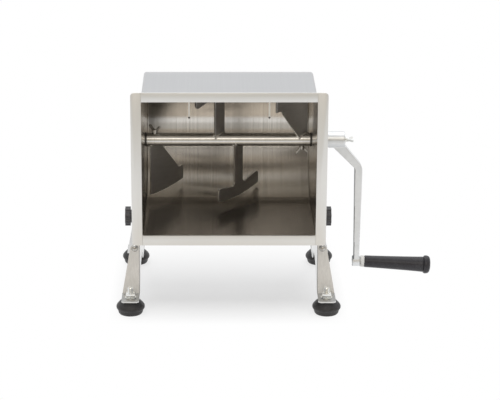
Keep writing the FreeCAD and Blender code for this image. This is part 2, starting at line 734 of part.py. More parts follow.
def makeCrank():
    hub = rod("hub", "hubStart", "hubEnd", "hubRadius")
    eyeZ = "axisHeight - crankThrow"
    corners = [("hubStart + armRoot", "axisHeight - armRootDrop"),
               ("hubStart + armRootEnd", "axisHeight - armRootDrop"),
               ("eyeStart - bendInsideX", "axisHeight - bendInsideDrop", "-bendInsideCurve"),
               ("eyeStart + runInsideX", "axisHeight - runInsideDrop"),
               ("eyeStart + eyeInsideX", eyeZ), ("eyeEnd - eyeOutsideX", eyeZ),
               ("eyeEnd", "axisHeight - runOutsideDrop", "bendOutsideCurve"),
               ("eyeEnd - bendOutsideX", "axisHeight - bendOutsideDrop"),
               ("hubEnd", "axisHeight - armTopDrop"), ("hubStart + armRoot", "axisHeight - armTopDrop")]
    arm = padded("arm", "XZ_Plane", corners, "armThick", centred=True)
    eye = rod("eye", "eyeStart", "eyeEnd", "eyeRadius", z=eyeZ)
    half = "driveSquare / 2"
    squareHole = box("square_hole", ("hubStart - through", f"-{half}", f"axisHeight - {half}"),
                     ("hubEnd + through", half, f"axisHeight + {half}"))
    pinHole = shaped("Cylinder", "pin_hole", Radius="pinRadius", Height="pinHoleLong")
    pinHole.Placement = gripPlacement(-worth("pinHoleLong / 2"))
    recess = shaped("Cylinder", "pin_recess", Radius="pinHeadRadius + gripPlay", Height="pinRecess + through")
    recess.Placement = gripPlacement(worth("(eyeStart - eyeEnd) / 2 - through"))
    keep(cut("crank", fuse("crank_blank", hub, arm, eye), squareHole, pinHole, recess), "crank_arm")

    clampWasher = tube("crank_washer", "hubEnd", "hubEnd + crankWasherThick", "crankWasherRadius",
                       "wingShank + wingGap")
    keep(clampWasher, "crank_washer")

    headTop = "(eyeStart - eyeEnd) / 2 + pinRecess - pinPlay"
    headBottom = headTop + " - pinHeadThick"
    collarStart = "counterboreStart + pinPlay"
    collarEnd = collarStart + " + pinHeadThick"
    corners = [("0", headBottom), ("pinHeadRadius", headBottom), ("pinHeadRadius", headTop),
               ("pinRadius", headTop), ("pinRadius", collarStart), ("pinCollarRadius", collarStart),
               ("pinCollarRadius", collarEnd), ("0", collarEnd)]
    keep(gripTurned("pin", corners), "grip_pin")
    ringStart, ringEnd = "((eyeEnd - eyeStart) / 2 + ringPlay)", "gripStart - gripPlay"
    corners = [("pinRadius", ringStart), ("gripRingRadius", ringStart), ("gripRingRadius", ringEnd),
               ("pinRadius", ringEnd)]
    keep(gripTurned("grip_ring_body", corners), "grip_ring")

    bore = "pinRadius + gripGap"
    corners = [(bore, "gripStart"), ("gripRootRadius - gripEdge", "gripStart"),
               ("gripRootRadius", "gripStart + gripRootEdge"), ("gripTipRadius", "gripEnd - gripEdge"),
               ("gripTipRadius - gripEdge", "gripEnd"), ("counterbore", "gripEnd"),
               ("counterbore", "counterboreStart"), (bore, "counterboreStart")]
    keep(gripTurned("handle", corners), "crank_grip")
    corners = [("0", "gripEnd"), ("gripCapRadius - capEdge", "gripEnd"),
               ("gripCapRadius", "gripEnd + capEdge"), ("gripCapRadius", "gripCapEnd - capRound", "capCurve"),
               ("gripCapRadius - capRound", "gripCapEnd"), ("0", "gripCapEnd")]
    keep(gripTurned("handle_cap", corners), "grip_cap")


# Wing screws, drawn standing on their seat with the shank going down

def wingScrew(label, shankLong, at, turn):
    ears = [("-wingRoot", "0"), ("wingRoot", "0"), ("wingNeck", "wingNeckTall"),
            ("wingSpan", "wingSpanTall", "wingTipCurve"), ("wingTip", "wingTall"),
            ("wingInside", "wingInsideTall"), ("-wingInside", "wingInsideTall"),
            ("-wingTip", "wingTall", "wingTipCurve"), ("-wingSpan", "wingSpanTall"),
            ("-wingNeck", "wingNeckTall")]
    wings = padded(label + "_ears", "XZ_Plane", ears, "wingThick", centred=True)
    corners = [("0", f"-{shankLong}"), ("wingShank", f"-{shankLong}"), ("wingShank", "0"), ("wingBase", "0"),
               ("wingBaseTop", "wingBaseTall"), ("0", "wingBaseTall")]
    stem = turned(label + "_stem", corners)
    screw = fuse(label + "_screw", wings, stem)
    screw.Placement = FreeCAD.Placement(FreeCAD.Vector(*(worth(text) for text in at)), turn)
    keep(screw, label)


def makeWingScrews():
    seat = "tubeRadius + wingSeatGap"
    skew = FreeCAD.Rotation(FreeCAD.Vector(0, 0, 1), worth("wingLeftSkew"))
    wingScrew("wing_screw_left", "wingShankLong", ("-wingAlong", "0", f"axisHeight + {seat}"), skew)
    skew = FreeCAD.Rotation(FreeCAD.Vector(0, 0, 1), worth("wingRightSkew")) * FreeCAD.Rotation(sideways, 180)
    wingScrew("wing_screw_right", "wingShankLong", ("wingAlong", "0", f"axisHeight - ({seat})"), skew)
    outward = alongX * FreeCAD.Rotation(FreeCAD.Vector(0, 0, 1), 90)
    crankSeat = ("hubEnd + crankWasherThick + wingSeatGap", "0", "axisHeight")
    wingScrew("wing_screw_crank", "wingCrankShankLong", crankSeat, outward)


makeTank()
makeBearings()
makeSidePlates()
makeDomeScrews()
makeFeet()
makeCrossmember()
makeTiltLock()
makeShaft()
makePaddles()
makeCrank()
makeWingScrews()
doc.recompute()

failed = [item.Name for item in doc.Objects if "Invalid" in item.State or "Error" in item.State]
broken = []
for item in nodes:
    if item.Shape.isNull() or not item.Shape.isValid() or not item.Shape.Solids:
        broken.append(item.Label)
if failed or broken:
    raise RuntimeError(f"failed objects: {failed}, broken shapes: {broken}")

os.makedirs("parts", exist_ok=True)
for item in nodes:
    item.Shape.exportStep(f"parts/{item.Label}.step")
    print(item.Label, len(item.Shape.Solids), round(item.Shape.Volume))
print(len(nodes), "sub-parts")
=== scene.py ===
import bpy
import bmesh
import json
import math
from mathutils import Matrix, Vector


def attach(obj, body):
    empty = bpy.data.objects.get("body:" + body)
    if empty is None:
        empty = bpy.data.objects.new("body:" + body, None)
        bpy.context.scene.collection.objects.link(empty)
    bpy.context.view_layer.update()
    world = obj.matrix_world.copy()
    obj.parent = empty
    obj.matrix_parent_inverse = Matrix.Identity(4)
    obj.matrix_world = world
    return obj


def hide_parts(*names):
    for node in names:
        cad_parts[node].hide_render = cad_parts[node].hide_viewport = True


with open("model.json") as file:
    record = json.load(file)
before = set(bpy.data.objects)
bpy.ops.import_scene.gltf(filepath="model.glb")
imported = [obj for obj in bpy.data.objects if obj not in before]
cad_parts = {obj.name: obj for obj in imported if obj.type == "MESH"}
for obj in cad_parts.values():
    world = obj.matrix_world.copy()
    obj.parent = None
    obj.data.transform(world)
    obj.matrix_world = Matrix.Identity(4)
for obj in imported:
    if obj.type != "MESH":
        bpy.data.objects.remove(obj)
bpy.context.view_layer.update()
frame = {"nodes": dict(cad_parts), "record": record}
nodes = frame["nodes"]
mm = 0.001
# corners closer than the first are one, and faces closer than the second lie on the mouth's plane; in metres
mergeGap, touchGap = 1e-6, 1e-4
print("frame loaded:", len(nodes), "nodes")


# Shader wiring

class Wire:
    # one output of a material's nodes; sums on it add Math nodes
    def __init__(self, tree, socket=None):
        self.tree = tree
        self.socket = socket

    def add(self, kind, settings, sockets, out=0):
        node = self.tree.nodes.new("ShaderNode" + kind)
        for key, value in settings.items():
            if key == "stops":
                self.fillRamp(node.color_ramp, value)
            else:
                setattr(node, key, value)
        for key, value in sockets.items():
            if isinstance(value, Wire):
                self.tree.links.new(value.socket, node.inputs[key])
            else:
                node.inputs[key].default_value = value
        return Wire(self.tree, node.outputs[out]) if node.outputs else None

    def fillRamp(self, ramp, stops):
        for stop, (place, level) in zip(ramp.elements, stops):
            stop.position = place
            stop.color = (level, level, level, 1)

    def maths(self, operation, first, second):
        return self.add("Math", {"operation": operation}, {0: first, 1: second})

    def __add__(self, other):
        return self.maths("ADD", self, other)

    def __radd__(self, other):
        return self.maths("ADD", other, self)

    def __rsub__(self, other):
        return self.maths("SUBTRACT", other, self)

    def __mul__(self, other):
        return self.maths("MULTIPLY", self, other)


def newMaterial(name):
    material = bpy.data.materials.new(name)
    material.use_nodes = True
    material.node_tree.nodes.clear()
    return material, Wire(material.node_tree)


def noiseAt(wire, stretch, detail=3.0, rough=0.6):
    # noise on the piece's own coordinates, in cycles per metre along each axis
    place = wire.add("TexCoord", {}, {}, "Object")
    place = wire.add("Mapping", {}, {"Vector": place, "Scale": stretch})
    return wire.add("TexNoise", {}, {"Vector": place, "Scale": 1.0, "Detail": detail, "Roughness": rough})


def evenNoise(wire, scale, *grain):
    return noiseAt(wire, (scale,) * 3, *grain)


def ramped(wire, value, low, high):
    return wire.add("ValToRGB", {"stops": [(low, 0.0), (high, 1.0)]}, {"Fac": value})


# places of the Mix node's two colours and of their result among its sockets
mixFirst, mixSecond, mixResult = 6, 7, 2


def mixed(wire, share, first, second):
    # each of the two is a plain colour or a wire that carries one
    first, second = (value if isinstance(value, Wire) else (*value, 1) for value in (first, second))
    sockets = {"Factor": share, mixFirst: first, mixSecond: second}
    return wire.add("Mix", {"data_type": "RGBA"}, sockets, mixResult)


def bumped(wire, strength, depth, height):
    return wire.add("Bump", {}, {"Strength": strength, "Distance": depth, "Height": height})


def finished(material, wire, sockets):
    surface = wire.add("BsdfPrincipled", {}, sockets)
    wire.add("OutputMaterial", {}, {"Surface": surface})
    return material


# Finishes; a pair beside a noise is its detail and roughness, a pair named edge the two ends of a ramp

brushing = {"lines": (5.0, 0.72), "broadScale": 0.4, "clouds": (3.0, 0.5), "lineShare": 0.4,
            "broadShare": 0.3, "cloudShare": 0.3, "shadeEdge": (0.36, 0.64), "cloudRough": 0.05}


def brushedSteel(name, look, grain):
    # brush lines along one direction, in two widths, over broad faint clouds
    material, wire = newMaterial(name)
    lines = noiseAt(wire, grain, *brushing["lines"])
    broad = noiseAt(wire, tuple(scale * brushing["broadScale"] for scale in grain))
    clouds = evenNoise(wire, look["clouds"], *brushing["clouds"])
    blend = clouds * brushing["cloudShare"] + lines * brushing["lineShare"] + broad * brushing["broadShare"]
    shade = ramped(wire, blend, *brushing["shadeEdge"])
    return finished(material, wire, {
        "Base Color": mixed(wire, shade, look["dark"], look["pale"]),
        "Metallic": 1.0,
        "Roughness": look["rough"] + lines * look["roughLines"] + clouds * brushing["cloudRough"],
        "Anisotropic": look.get("stretch", 0.0),
        "Normal": bumped(wire, look["bump"], look["depth"], lines + broad)})


plating = {"stain": (4.0, 0.6), "stainEdge": (0.35, 0.68), "fineness": 12, "bump": 0.12, "depth": 0.0002,
           "fineRough": 0.12, "stainRough": 0.05}


def platedSteel(name, look):
    # bright plating with faint warm and cool stains
    material, wire = newMaterial(name)
    stain = ramped(wire, evenNoise(wire, look["stain"], *plating["stain"]), *plating["stainEdge"])
    fine = evenNoise(wire, look["stain"] * plating["fineness"])
    return finished(material, wire, {
        "Base Color": mixed(wire, stain, look["warm"], look["cool"]),
        "Metallic": 1.0,
        "Roughness": look["rough"] + fine * plating["fineRough"] + stain * plating["stainRough"],
        "Normal": bumped(wire, plating["bump"], plating["depth"], fine)})


casting = {"pits": (5.0, 0.65), "bloom": (4.0, 0.55), "bloomEdge": (0.3, 0.72), "depth": 0.0005,
           "pitRough": 0.14, "bloomRough": 0.06}


def castMetal(name, look):
    # tumbled casting: soft pits and a slight grey bloom; where the look gives a shaded colour, the side
    # facing -X is darkened as painted shade
    material, wire = newMaterial(name)
    pits = evenNoise(wire, look["pits"], *casting["pits"])
    bloom = ramped(wire, evenNoise(wire, look["bloom"], *casting["bloom"]), *casting["bloomEdge"])
    colour = mixed(wire, bloom, look["dark"], look["pale"])
    if "paintedShade" in look:
        # painted shade: faces turned towards -X take the darker colour
        faces = wire.add("TexCoord", {}, {}, "Normal")
        turned = wire.add("SeparateXYZ", {}, {0: faces}, "X")
        colour = mixed(wire, ramped(wire, turned * -1.0, *look["paintedShadeEdge"]), colour, look["paintedShade"])
    return finished(material, wire, {
        "Base Color": colour,
        "Metallic": 1.0,
        "Roughness": look["rough"] + pits * casting["pitRough"] + bloom * casting["bloomRough"],
        "Normal": bumped(wire, look["bump"], casting["depth"], pits)})


moulding = {"dust": (5.0, 0.65), "dustEdge": (0.5, 0.8), "depth": 0.0004, "textureRough": 0.12,
            "dustRough": 0.1}


def moulded(name, look):
    # plastic or rubber with a fine moulded texture and a little dust
    material, wire = newMaterial(name)
    texture = evenNoise(wire, look["texture"])
    dust = ramped(wire, evenNoise(wire, look["dust"], *moulding["dust"]), *moulding["dustEdge"])
    return finished(material, wire, {
        "Base Color": mixed(wire, dust, look["colour"], look["dusty"]),
        "Roughness": look["rough"] + texture * moulding["textureRough"] + dust * moulding["dustRough"],
        "Specular IOR Level": look["gloss"],
        "Normal": bumped(wire, look["bump"], moulding["depth"], texture)})


insideLook = {"dark": (0.525, 0.502, 0.465), "pale": (0.755, 0.722, 0.675), "rough": 0.13, "roughLines": 0.08,
              "clouds": 9, "bump": 0.3, "depth": 0.0003, "stretch": 0.8}
outsideLook = {"dark": (0.525, 0.527, 0.53), "pale": (0.565, 0.567, 0.57), "rough": 0.26, "roughLines": 0.12,
               "clouds": 7, "bump": 0.1, "depth": 0.0002}
rimLook = {"dark": (0.79, 0.79, 0.775), "pale": (0.83, 0.83, 0.815), "rough": 0.36, "roughLines": 0.1,
           "clouds": 14, "bump": 0.15, "depth": 0.0002}
# a darker copy of the inside steel, as painted shade on the tank's inside bottom
bottomShadeLook = {"dark": (0.32, 0.302, 0.285), "pale": (0.47, 0.447, 0.425), "rough": 0.13, "roughLines": 0.08,
              "clouds": 9, "bump": 0.3, "depth": 0.0003, "stretch": 0.8}
standLook = {"dark": (0.68, 0.68, 0.675), "pale": (0.82, 0.82, 0.815), "rough": 0.4, "roughLines": 0.14,
             "clouds": 24, "bump": 0.25, "depth": 0.0003}
shaftLook = {"dark": (0.6, 0.59, 0.56), "pale": (0.74, 0.73, 0.705), "rough": 0.12, "roughLines": 0.1,
             "clouds": 30, "bump": 0.15, "depth": 0.0002}
# webs: a lighter, glossier copy of the stand steel, as painted light
webLitLook = {"dark": (0.78, 0.78, 0.775), "pale": (0.88, 0.88, 0.875), "rough": 0.24, "roughLines": 0.1,
           "clouds": 20, "bump": 0.12, "depth": 0.0002}
# foot tabs: a darker copy of the stand steel, as painted shade
tabShadeLook = {"dark": (0.42, 0.42, 0.41), "pale": (0.52, 0.52, 0.51), "rough": 0.34, "roughLines": 0.12,
           "clouds": 40, "bump": 0.2, "depth": 0.0003}
# fold: a near-black copy of the stand steel, as a painted shade line
foldShadeLook = {"dark": (0.1, 0.092, 0.08), "pale": (0.2, 0.185, 0.165), "rough": 0.4, "roughLines": 0.1,
            "clouds": 60, "bump": 0.1, "depth": 0.0002}
paddleLook = {"dark": (0.51, 0.5, 0.49), "pale": (0.61, 0.6, 0.59), "rough": 0.32, "roughLines": 0.16,
              "clouds": 26, "bump": 0.25, "depth": 0.0003}
# brush directions, as noise cycles per metre along each axis
grainFast, grainSlow = 900, 6
alongZ = (grainFast, grainFast, grainSlow)
alongX = (grainSlow, grainFast, grainFast)
aroundX = (grainFast, grainSlow, grainSlow)
rolled, sawn = (90, 90, 600), (400, 400, 400)

insideWrap = brushedSteel("insideWrap", insideLook, aroundX)
insideUpright = brushedSteel("insideUpright", insideLook, alongZ)
insideBottomShaded = brushedSteel("insideBottomShaded", bottomShadeLook, aroundX)
outsideWrap = brushedSteel("outsideWrap", outsideLook, aroundX)
outsideUpright = brushedSteel("outsideUpright", outsideLook, alongZ)
rimUpright = brushedSteel("rimUpright", rimLook, alongZ)
rimAcross = brushedSteel("rimAcross", rimLook, alongX)
standUpright = brushedSteel("standUpright", standLook, alongZ)
standWebLit = brushedSteel("standWebLit", webLitLook, alongZ)
standTabShaded = brushedSteel("standTabShaded", tabShadeLook, alongX)
standFoldShade = brushedSteel("standFoldShade", foldShadeLook, alongZ)
standAcross = brushedSteel("standAcross", standLook, alongX)
turnedSteel = brushedSteel("turnedSteel", shaftLook, aroundX)
paddleSteel = brushedSteel("paddleSteel", paddleLook, rolled)
cutEdge = brushedSteel("cutEdge", shaftLook, sawn)
weldSteel = platedSteel("weldSteel", {"warm": (0.6, 0.57, 0.53), "cool": (0.7, 0.69, 0.67), "stain": 300,
                                      "rough": 0.24})
zincPlate = platedSteel("zincPlate", {"warm": (0.86, 0.85, 0.8), "cool": (0.82, 0.84, 0.85), "stain": 160,
                                      "rough": 0.1})
brassTurned = platedSteel("brassTurned", {"warm": (0.7, 0.5, 0.2), "cool": (0.78, 0.6, 0.3), "stain": 200,
                                          "rough": 0.2})
wingCasting = castMetal("wingCasting", {"dark": (0.36, 0.345, 0.32), "pale": (0.66, 0.65, 0.62), "pits": 900,
                                        "bloom": 220, "bump": 0.2, "rough": 0.14})
# the crank arm's side facing -X gets a dark painted shade
crankCasting = castMetal("crankCasting", {"dark": (0.7, 0.71, 0.715), "pale": (0.8, 0.81, 0.815), "pits": 700,
                                          "bloom": 60, "bump": 0.25, "rough": 0.28,
                                          "paintedShade": (0.2, 0.205, 0.21), "paintedShadeEdge": (0.25, 0.6)})
blackPlastic = moulded("blackPlastic", {"colour": (0.03, 0.028, 0.033), "dusty": (0.056, 0.054, 0.06),
                                        "texture": 1500, "dust": 90, "bump": 0.2, "rough": 0.28,
                                        "gloss": 0.4})
knobPlastic = moulded("knobPlastic", {"colour": (0.045, 0.043, 0.047), "dusty": (0.075, 0.073, 0.078),
                                      "texture": 1500, "dust": 110, "bump": 0.2, "rough": 0.26, "gloss": 0.6})
footRubber = moulded("footRubber", {"colour": (0.026, 0.024, 0.025), "dusty": (0.06, 0.057, 0.057),
                                    "texture": 1100, "dust": 120, "bump": 0.3, "rough": 0.4, "gloss": 0.5})
sealRubber = moulded("sealRubber", {"colour": (0.05, 0.044, 0.038), "dusty": (0.085, 0.078, 0.07),
                                    "texture": 1400, "dust": 150, "bump": 0.2, "rough": 0.5, "gloss": 0.4})
whiteNylon = moulded("whiteNylon", {"colour": (0.9, 0.89, 0.86), "dusty": (0.82, 0.8, 0.76),
                                    "texture": 900, "dust": 120, "bump": 0.15, "rough": 0.4, "gloss": 0.5})
bushNylon = moulded("bushNylon", {"colour": (0.56, 0.54, 0.49), "dusty": (0.48, 0.46, 0.41),
                                  "texture": 900, "dust": 120, "bump": 0.15, "rough": 0.42, "gloss": 0.5})
pinWhite = moulded("pinWhite", {"colour": (0.8, 0.77, 0.7), "dusty": (0.7, 0.67, 0.6),
                                "texture": 900, "dust": 200, "bump": 0.1, "rough": 0.3, "gloss": 0.5})
print("finishes made")

nodeFinish = {
    "tank_wrap": outsideWrap, "tank_rim": rimUpright, "end_wall": outsideUpright, "trunnion": turnedSteel,
    "retaining_ring": zincPlate, "shaft_bush": bushNylon, "tilt_bush": bushNylon, "side_plate": standUpright,
    # the leg dome screws take the darker wing casting as painted shade under the rim
    "leg_dome_screws": wingCasting, "foot": footRubber, "foot_studs": zincPlate, "foot_nuts": zincPlate,
    "foot_washers": zincPlate, "crossmember": standAcross, "crossmember_bolts": zincPlate,
    "tilt_quadrant": standUpright, "lock_bolt": zincPlate, "lock_spacer": zincPlate, "lock_washer": zincPlate,
    "lock_knob": knobPlastic, "knob_insert": brassTurned, "shaft_tube": turnedSteel, "shaft_seal": sealRubber,
    "drive_spindle": turnedSteel, "idler_spindle": turnedSteel, "idler_clip": zincPlate,
    "paddle": paddleSteel, "crank_arm": crankCasting, "crank_washer": zincPlate, "grip_pin": zincPlate,
    "grip_ring": whiteNylon, "crank_grip": blackPlastic, "grip_cap": blackPlastic, "wing_screw": wingCasting,
    "wing_screw_crank": zincPlate, "mouth_pins": pinWhite,
}


def finishOf(node):
    # the longest matching name wins, so foot_studs isn't taken for a foot
    return nodeFinish[max((key for key in nodeFinish if node.startswith(key)), key=len)]


for node, item in nodes.items():
    item.data.materials.clear()
    item.data.materials.append(finishOf(node))
bodies = frame["record"]["behaviour"]["bodies"]
nodeBody = {node: body for body, members in bodies.items() for node in members}


# Modelling helpers; lengths in millimetres, angles in degrees

sharpAngle, flatAngle = 35, 0.4
turnedSmooth, fastenerSmooth, castSmooth = 50, 40, 180


def addPiece(name, bm, body, material, stands=(), smoothBelow=sharpAngle):
    mesh = bpy.data.meshes.new(name)
    for face in bm.faces:
        face.smooth = True
    bm.to_mesh(mesh)
    bm.free()
    mesh.set_sharp_from_angle(angle=math.radians(smoothBelow))
    piece = bpy.data.objects.new(name, mesh)
    bpy.context.scene.collection.objects.link(piece)
    mesh.materials.append(material)
    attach(piece, body)
    if stands:
        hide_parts(*stands)
    return piece


def block(bm, low, high):
    # a box between two corners
    low, high = Vector(low) * mm, Vector(high) * mm
    made = bmesh.ops.create_cube(bm, size=1.0)["verts"]
    bmesh.ops.scale(bm, vec=high - low, verts=made)
    bmesh.ops.translate(bm, vec=(low + high) / 2, verts=made)
    return made


def rounded(bm, edges, offset, segments):
    return bmesh.ops.bevel(bm, geom=edges, offset=offset * mm, segments=segments, profile=0.5, affect="EDGES",
                           material=-1, clamp_overlap=True)["faces"]


def extruded(bm, faces, step):
    # the faces pulled out by a step in metres
    grown = bmesh.ops.extrude_face_region(bm, geom=faces)["geom"]
    bmesh.ops.translate(bm, vec=step, verts=[item for item in grown if isinstance(item, bmesh.types.BMVert)])


def spun(bm, profile, steps, place=Matrix()):
    # a turned piece: its half section, as (radius, height), spun round Z and then placed
    start = [bm.verts.new((radius * mm, 0, height * mm)) for radius, height in profile]
    line = [bm.edges.new(pair) for pair in zip(start, start[1:])]
    before = set(bm.verts) - set(start)
    bmesh.ops.spin(bm, geom=start + line, cent=(0, 0, 0), axis=(0, 0, 1), angle=2 * math.pi, steps=steps,
                   use_merge=True)
    made = [vert for vert in bm.verts if vert not in before]
    bmesh.ops.remove_doubles(bm, verts=made, dist=mergeGap)
    made = [vert for vert in bm.verts if vert not in before]
    bmesh.ops.transform(bm, matrix=place, verts=made)


def tidyNormals(bm):
    bmesh.ops.recalc_face_normals(bm, faces=bm.faces)


def meshOf(node):
    bm = bmesh.new()
    bm.from_mesh(nodes[node].data)
    bmesh.ops.remove_doubles(bm, verts=bm.verts, dist=mergeGap)
    return bm


def copied(node):
    # the solid's mesh with its triangles joined back into whole faces
    bm = meshOf(node)
    bmesh.ops.dissolve_limit(bm, angle_limit=math.radians(flatAngle), verts=bm.verts, edges=bm.edges)
    return bm


def creased(bm):
    limit = math.radians(sharpAngle)
    return [edge for edge in bm.edges if len(edge.link_faces) == 2 and edge.calc_face_angle() > limit]


def flatFaced(piece):
    # broad faces keep their own direction, so only the broken edges look round
    even = piece.modifiers.new("flatFaces", "WEIGHTED_NORMAL")
    even.weight = 100
    even.keep_sharp = True


def softened(node, edge, segments):
    # the same solid with its sharp edges broken
    bm = copied(node)
    rounded(bm, creased(bm), edge, segments)
    flatFaced(addPiece("soft_" + node, bm, nodeBody[node], finishOf(node), (node,)))


def remeshed(piece, voxel):
    even = piece.modifiers.new("even", "REMESH")
    even.mode = "VOXEL"
    even.voxel_size = voxel * mm
    even.use_smooth_shade = True


def cast(node, voxel, passes):
    # the same solid with the rounded edges of a casting
    piece = addPiece("cast_" + node, meshOf(node), nodeBody[node], finishOf(node), (node,),
                     castSmooth)
    remeshed(piece, voxel)
    smooth = piece.modifiers.new("soften", "SMOOTH")
    smooth.factor = 0.5
    smooth.iterations = passes


# Tank: one sheet bent round the ends, and a rim of two upright rails with two cross rails between them

tankShell = {"halfOut": 125.7, "radius": 100.7, "mouth": -148.0, "axis": 236.0, "bend": 3.0, "wall": 1.2,
             "hole": 12.0}
# mesh steps, how squarely a face looks along an axis to be a cap, an end wall or the bottom, and a share of
# the depth that gives a point well inside
tankMesh = {"arcSteps": 48, "bendSteps": 4, "holeSteps": 48, "cap": 0.99, "end": 0.95, "bottom": 0.98,
            "within": 6}
rimRails = {"halfWindow": 124.5, "halfOut": 139.5, "low": 121.5, "lowWindow": 136.5, "highWindow": 335.5,
            "high": 349.3, "front": -150.0, "back": -148.0, "corner": 5.5, "cornerSteps": 6, "edge": 0.4,
            "edgeSteps": 2, "square": 60}


def makeTankShell():
    tank = {key: value * mm for key, value in tankShell.items()}
    bm = bmesh.new()
    start = bm.verts.new((-tank["halfOut"], tank["mouth"], tank["axis"] + tank["radius"]))
    bend = bm.verts.new((-tank["halfOut"], 0, tank["axis"] + tank["radius"]))
    bm.edges.new((start, bend))
    arc = bmesh.ops.spin(bm, geom=[bend], cent=(-tank["halfOut"], 0, tank["axis"]), axis=(1, 0, 0),
                         angle=-math.pi, steps=tankMesh["arcSteps"])["geom_last"]
    last = [item for item in arc if isinstance(item, bmesh.types.BMVert)][0]
    stop = bm.verts.new((-tank["halfOut"], tank["mouth"], tank["axis"] - tank["radius"]))
    bm.edges.new((last, stop))
    bm.edges.new((stop, start))
    side = bmesh.ops.contextual_create(bm, geom=list(bm.edges))["faces"]
    extruded(bm, side, (2 * tank["halfOut"], 0, 0))
    tidyNormals(bm)
    corner = []
    for edge in creased(bm):
        ends = [vert.co for vert in edge.verts]
        if abs(ends[0].x - ends[1].x) < mergeGap and max(end.y for end in ends) > tank["mouth"] + touchGap:
            corner.append(edge)
    rounded(bm, corner, tankShell["bend"], tankMesh["bendSteps"])
    bm.faces.ensure_lookup_table()
    # the end walls are filled again around the shaft's holes
    for side in (-1, 1):
        ends = [face for face in bm.faces if face.normal.x * side > tankMesh["cap"]]
        cap = max(ends, key=lambda face: face.calc_area())
        loop = list(cap.edges)
        bmesh.ops.delete(bm, geom=[cap], context="FACES_ONLY")
        turn = Matrix.Rotation(math.pi / 2, 4, "Y")
        turn = Matrix.Translation((side * tank["halfOut"], 0, tank["axis"])) @ turn
        ring = bmesh.ops.create_circle(bm, cap_ends=False, segments=tankMesh["holeSteps"],
                                       radius=tank["hole"], matrix=turn)["verts"]
        loop += list({edge for vert in ring for edge in vert.link_edges})
        bmesh.ops.triangle_fill(bm, use_beauty=True, use_dissolve=False, edges=loop)
    mouth = [face for face in bm.faces if face.calc_center_median().y < tank["mouth"] + touchGap]
    bmesh.ops.delete(bm, geom=mouth, context="FACES_ONLY")
    tidyNormals(bm)
    bmesh.ops.solidify(bm, geom=list(bm.faces), thickness=tank["wall"])
    tidyNormals(bm)
    finishes = (insideWrap, insideUpright, outsideWrap, outsideUpright, insideBottomShaded)
    # outer faces look away from a point well inside the tank
    within = Vector((0, tank["mouth"] / tankMesh["within"], tank["axis"]))
    for face in bm.faces:
        outer = face.normal.dot(face.calc_center_median() - within) > 0
        wrap, upright = (outsideWrap, outsideUpright) if outer else (insideWrap, insideUpright)
        finish = upright if abs(face.normal.x) > tankMesh["end"] else wrap
        # painted shade: inside faces of the bottom wall take a darker copy of the inside steel
        if not outer and face.normal.z > tankMesh["bottom"]:
            finish = insideBottomShaded
        face.material_index = finishes.index(finish)
    shell = addPiece("tankShell", bm, "tank", insideWrap,
                     ("tank_wrap", "end_wall_left", "end_wall_right"))
    for material in finishes[1:]:
        shell.data.materials.append(material)


def makeRim():
    rim = rimRails
    uprights = bmesh.new()
    for side in (-1, 1):
        ends = sorted((side * rim["halfWindow"], side * rim["halfOut"]))
        made = block(uprights, (ends[0], rim["front"], rim["low"]), (ends[1], rim["back"], rim["high"]))
        outer = [edge for edge in uprights.edges if edge.verts[0] in made
                 and abs(abs(edge.verts[0].co.x) - rim["halfOut"] * mm) < mergeGap
                 and abs(edge.verts[0].co.x - edge.verts[1].co.x) < mergeGap
                 and abs(edge.verts[0].co.z - edge.verts[1].co.z) < mergeGap]
        rounded(uprights, outer, rim["corner"], rim["cornerSteps"])
    sharp = [edge for edge in uprights.edges if edge.calc_face_angle(0) > math.radians(rim["square"])]
    rounded(uprights, sharp, rim["edge"], rim["edgeSteps"])
    addPiece("rimUprights", uprights, "tank", rimUpright, ("tank_rim",))
    rails = bmesh.new()
    for low, high in ((rim["low"], rim["lowWindow"]), (rim["highWindow"], rim["high"])):
        block(rails, (-rim["halfWindow"], rim["front"], low), (rim["halfWindow"], rim["back"], high))
    rounded(rails, list(rails.edges), rim["edge"], rim["edgeSteps"])
    addPiece("rimCrossRails", rails, "tank", rimAcross, ("tank_rim",))


mouthPins = {"along": 56.7, "back": -146.4, "top": 335.5,
             "outline": ((0, -24.5), (0.8, -24.5), (1.2, -24.2), (1.4, -23.6), (1.4, -21.7), (1.1, -21.3),
                         (1.1, -1.2), (1.35, -0.5), (1.8, 0), (0, 0)), "tip": -21.5, "steps": 24}


def makeMouthPins():
    bm = bmesh.new()
    for side in (-1, 1):
        place = Vector((side * mouthPins["along"], mouthPins["back"], mouthPins["top"])) * mm
        spun(bm, mouthPins["outline"], mouthPins["steps"], Matrix.Translation(place))
    tidyNormals(bm)
    tipTop = (mouthPins["top"] + mouthPins["tip"]) * mm
    # the lowest part of each pin, below the tip line, takes the dark seal finish
    for face in bm.faces:
        face.material_index = 1 if face.calc_center_median().z < tipTop else 0
    pins = addPiece("mouthPins", bm, nodeBody["mouth_pins"], pinWhite,
                    ("mouth_pins",), turnedSmooth)
    pins.data.materials.append(sealRubber)


makeTankShell()
makeRim()
makeMouthPins()
print("tank made")


# Paddles: plates with bright cut edges, and weld beads along their roots

paddleSeats = {
    "paddle_end_left": {"x": -112.3, "turn": 44, "lean": 3.5, "up": False, "root": (-7.1, 11.0)},
    "paddle_end_right": {"x": 112.3, "turn": 224, "lean": 3.5, "up": True, "root": (-7.1, 11.0)},
    "paddle_centre_lower": {"x": 14.8, "turn": 54, "lean": 3.5, "up": False, "root": (-10.0, 10.0)},
    "paddle_centre_upper": {"x": -13.6, "turn": 46.5, "lean": 8, "up": True, "root": (-10.0, 10.0)},
}
paddlePlate = {"edge": 0.35, "edgeSteps": 2, "flat": 0.9}
weldLook = {"bead": 1.5, "step": 1.3, "off": 2.1, "tube": 10.1, "voxel": 0.4, "leastReach": 1.0,
            "uneven": 0.12, "wander": 2.3}


def seatTurn(seat):
    flip = Matrix.Rotation(math.pi, 4, "X") if seat["up"] else Matrix()
    lean = Matrix.Rotation(math.radians(seat["lean"]), 4, "X")
    return lean @ Matrix.Rotation(math.radians(seat["turn"]), 4, "Z") @ flip


